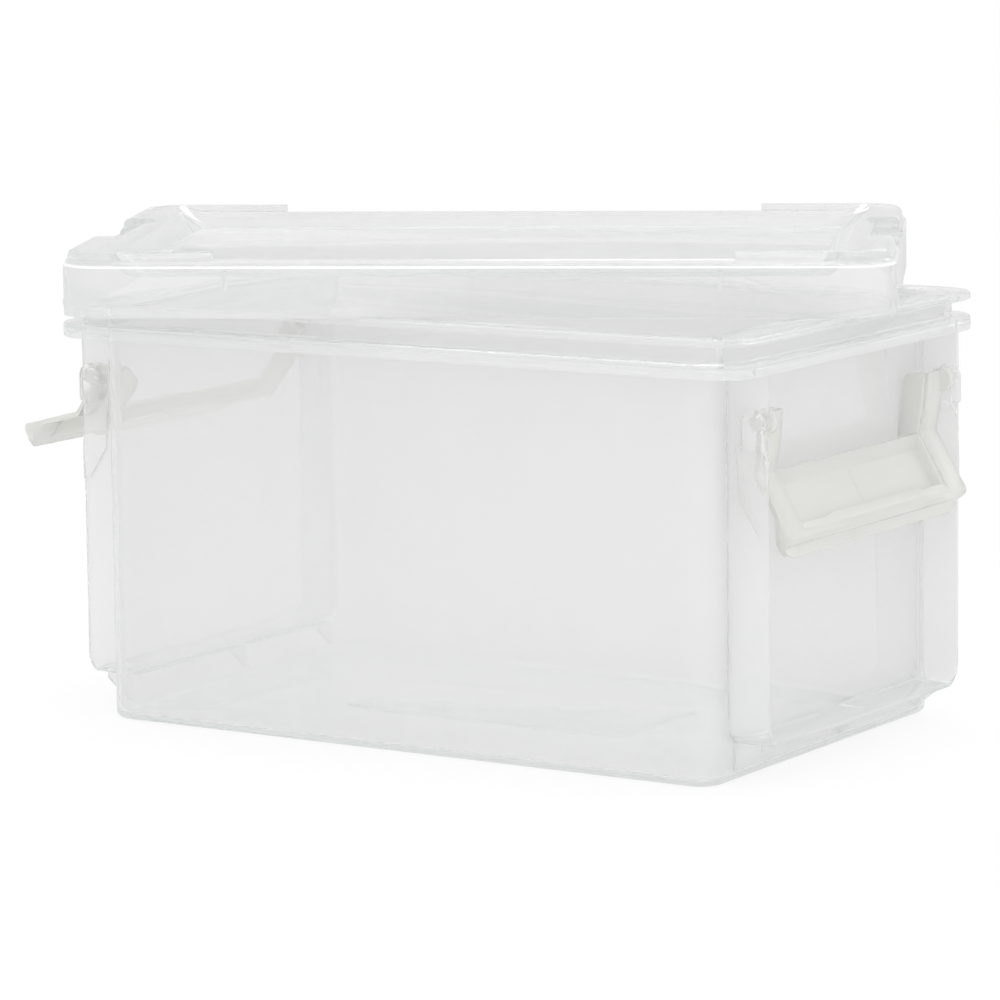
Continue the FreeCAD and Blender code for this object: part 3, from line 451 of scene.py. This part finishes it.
def lid_pads():
    """The four L-shaped corner pads: a rounded plate with a cross-shaped gap and a hollow middle."""
    plate = (154.4, 97.2, 16.2)
    pads = swept([(*plate, 20.2)] + turned(*plate, 22.2, 2.4, 0, 90, 6))
    gap_sides = slab([(-97.4, 15), (97.4, 15), (97.4, 30), (-97.4, 30)], -110, 110, 0)
    gap_ends = slab([(-170, 15), (170, 15), (170, 30), (-170, 30)], -35.5, 35.5, 0)
    hollow = swept([(136.35, 89.6, 8, 15), (136.35, 89.6, 8, 30)])
    return welded("pads", pads, [], [gap_sides, gap_ends, hollow])


def lid_moulding():
    """Lid about its own centre, its lower edge at z 0: skirt, crown, sunk field, corner pads, end seats."""
    outer, inner = (156.2, 99, 18), (154.6, 97.4, 16.4)
    # down the inside of the skirt, round its lower edge, up the outside and over the crown
    rings = turned(*inner, 18.8, 1, 90, 0) + [(*inner, 0.3), (154.9, 97.7, 16.7, 0)]
    rings += turned(*outer, 0.3, 0.3, -90, 0, 2) + turned(*outer, 18.1, 3.5, 0, 90, 8)
    # the field's pan hangs under the crown, and the field is sunk into it
    pan = [(132, 88.4, 9, 14.6), (140.2, 92.4, 9, 20.7)]
    field = [(129.7, 86.1, 8.5, 16.4), (130.3, 86.7, 9, 16.7), (150.8, 96.7, 9, 29.5)]
    ridge = [(136.35, 20.7), (145, 20.7), (145, 23.6), (136.35, 23.6)]
    seat = [(143.4, 17), (155.4, 17), (155.4, 20.7), (143.4, 20.7)]
    seat_room = [(145, 18.6), (165, 18.6), (165, 35), (145, 35)]
    adds, cuts = [swept(pan), lid_pads()], [swept(field)]
    for end in (1, -1):
        adds.append(slab(to_side(end, ridge), -42, 42, 0.5))
        adds.append(slab(to_side(end, seat), -37.1, 37.1, 0.4))
        cuts.append(slab(to_side(end, seat_room), -35.5, 35.5, 0))
        # short upright ribs on the skirt
        for x in (-92, 0, 92):
            rib = [(x - 0.9, 10.1), (x + 0.9, 10.1), (x + 0.9, 18.1), (x - 0.9, 18.1)]
            adds.append(slab(rib, *span(end, 98, 99.5), 0.35))
    return welded("lid", swept(rings), adds, cuts)


shown(tub_moulding(), "tub_moulding", "tub", "tub_body", clear)
askew = moved(LID_X, LID_Y, LID_Z) @ Matrix.Rotation(math.radians(LID_TURN), 4, "Z")
shown(lid_moulding(), "lid_moulding", "lid", "lid_body", clear_lid_painted_highlight, askew)

# half a turn about an axis that leans by half the raised angle makes a hanging right latch a raised left one
lean = math.radians(LATCH_RAISED / 2)
hanging = moved(PIVOT_X, 0, PIVOT_Z)
turned_over = Matrix.Rotation(math.pi, 4, Vector((math.sin(lean), 0, math.cos(lean))))
raised = moved(-PIVOT_X, 0, PIVOT_Z) @ turned_over
for side, place in (("right", hanging), ("left", raised)):
    shown(latch_moulding(), "latch_" + side + "_moulding", "latch_" + side, "latch_" + side + "_body",
          frosted, place)


# ---- floor, light and camera

def seen_directly(tree):
    """Factor and glow of the backdrop: white to the eye, a shade greyer through clear plastic and in its
    gloss."""
    path = add(tree, "ShaderNodeLightPath")
    plastic = add(tree, "ShaderNodeMath", {"operation": "MAXIMUM"},
                  links={0: path.outputs["Is Glossy Ray"], 1: path.outputs["Is Transmission Ray"]})
    share = add(tree, "ShaderNodeMath", {"operation": "MAXIMUM"},
                links={0: path.outputs["Is Camera Ray"], 1: plastic.outputs[0]})
    level = add(tree, "ShaderNodeMapRange", values={"To Min": 0.8, "To Max": 1.0},
                links={"Value": path.outputs["Is Camera Ray"]})
    return share.outputs[0], level.outputs["Result"]


def pale_floor():
    """Matt white table paper. It glows to the eye at the backdrop's white, and less so within 0.9 m of the
    middle, where it takes the case's shadow."""
    mat = new_material("pale_studio_floor")
    tree = mat.node_tree
    place = add(tree, "ShaderNodeTexCoord").outputs["Object"]
    # paper grain, drawn at 3 mm so that it shows
    grain = add(tree, "ShaderNodeTexNoise", values={"Scale": 300.0}, links={"Vector": place})
    rough = add(tree, "ShaderNodeMapRange", values={"To Min": 0.8, "To Max": 0.95},
                links={"Value": grain.outputs["Fac"]})
    paper = add(tree, "ShaderNodeBsdfPrincipled",
                values={"Base Color": linear("F8F8F8"), "Specular IOR Level": 0.0},
                links={"Roughness": rough.outputs["Result"]})
    seen, level = seen_directly(tree)
    glow = add(tree, "ShaderNodeEmission", links={"Strength": level})
    away = add(tree, "ShaderNodeVectorMath", {"operation": "LENGTH"}, links={0: place})
    share = add(tree, "ShaderNodeMapRange",
                values={"From Min": 0.2, "From Max": 0.9, "To Min": 0.82, "To Max": 1.0},
                links={"Value": away.outputs["Value"]})
    mixed = add(tree, "ShaderNodeMath", {"operation": "MULTIPLY"},
                links={0: seen, 1: share.outputs["Result"]})
    mix = add(tree, "ShaderNodeMixShader",
              links={0: mixed.outputs[0], 1: paper.outputs["BSDF"], 2: glow.outputs["Emission"]})
    add(tree, "ShaderNodeOutputMaterial", links={"Surface": mix.outputs["Shader"]})
    return mat


# the floor is 24 m wide and lies a hair below the tub's bottom, so that the two faces don't meet
FLOOR_HALF, FLOOR_GAP = 12.0, 0.05
bm = bmesh.new()
bmesh.ops.create_grid(bm, x_segments=1, y_segments=1, size=FLOOR_HALF)
floor = loose(bm, "floor")
floor.data.materials.append(pale_floor())
floor.data.transform(moved(0, 0, -FLOOR_GAP))

world = bpy.data.worlds.new("studio")
bpy.context.scene.world = world
world.use_nodes = True
tree = world.node_tree
tree.nodes.clear()
seen, level = seen_directly(tree)
room_light = add(tree, "ShaderNodeBackground", values={"Color": (1, 1, 1, 1), "Strength": 1.0})
backdrop = add(tree, "ShaderNodeBackground", values={"Color": (1, 1, 1, 1)}, links={"Strength": level})
mix = add(tree, "ShaderNodeMixShader",
          links={0: seen, 1: room_light.outputs["Background"], 2: backdrop.outputs["Background"]})
add(tree, "ShaderNodeOutputWorld", links={"Surface": mix.outputs["Shader"]})


def soft_light(name, place, size, power, aim=(0, 0, 0.1), in_gloss=True):
    """Soft box. One that only fills shade is kept out of the gloss, so that it leaves no white patch on a
    wall."""
    data = bpy.data.lights.new(name, "AREA")
    data.shape = "RECTANGLE"
    data.size, data.size_y = size
    data.energy = power
    lamp = bpy.data.objects.new(name, data)
    bpy.context.scene.collection.objects.link(lamp)
    lamp.location = place
    lamp.visible_glossy = lamp.visible_transmission = in_gloss
    lamp.rotation_euler = (Vector(aim) - Vector(place)).to_track_quat("-Z", "Y").to_euler()


soft_light("top_light", (0.1, 0.1, 1.5), size=(1.4, 1.0), power=3)
soft_light("side_light", (1.3, -0.5, 0.9), size=(0.5, 0.9), power=1.8, in_gloss=False)
soft_light("strip_light", (1.05, -1.9, 1.15), size=(1.6, 0.18), power=2.5, aim=(0, 0, 0.15))
soft_light("front_light", (0.3, -2.0, 0.45), size=(1.3, 0.7), power=2, in_gloss=False)
soft_light("back_light", (-1.4, 0.3, 0.7), size=(0.6, 0.6), power=3, in_gloss=False)
soft_light("rim_light", (-0.3, 1.7, 1.2), size=(1.6, 0.4), power=2.6, aim=(0, 0, 0.15))

camera_data = bpy.data.cameras.new("camera")
camera = bpy.data.objects.new("camera", camera_data)
bpy.context.scene.collection.objects.link(camera)
camera_place = (1.00378, -1.57447, 0.37191)
yaw, pitch, roll = 0.5734, 0.1396, -0.0125
ahead = Vector((-math.sin(yaw) * math.cos(pitch), math.cos(yaw) * math.cos(pitch), -math.sin(pitch)))
right = Vector((math.cos(yaw), math.sin(yaw), 0))
up = right.cross(ahead)
level_right = right * math.cos(roll) + up * math.sin(roll)
level_up = up * math.cos(roll) - right * math.sin(roll)
turn = Matrix((level_right, level_up, -ahead)).transposed().to_4x4()
camera.matrix_world = Matrix.Translation(camera_place) @ turn
camera_data.lens = 174.94
camera_data.sensor_width = 36.0
camera_data.shift_x = 0.01161
camera_data.shift_y = -0.06354
camera_data.clip_start, camera_data.clip_end = 0.1, 60.0
bpy.context.scene.camera = camera
bpy.context.scene.view_settings.view_transform = "Standard"
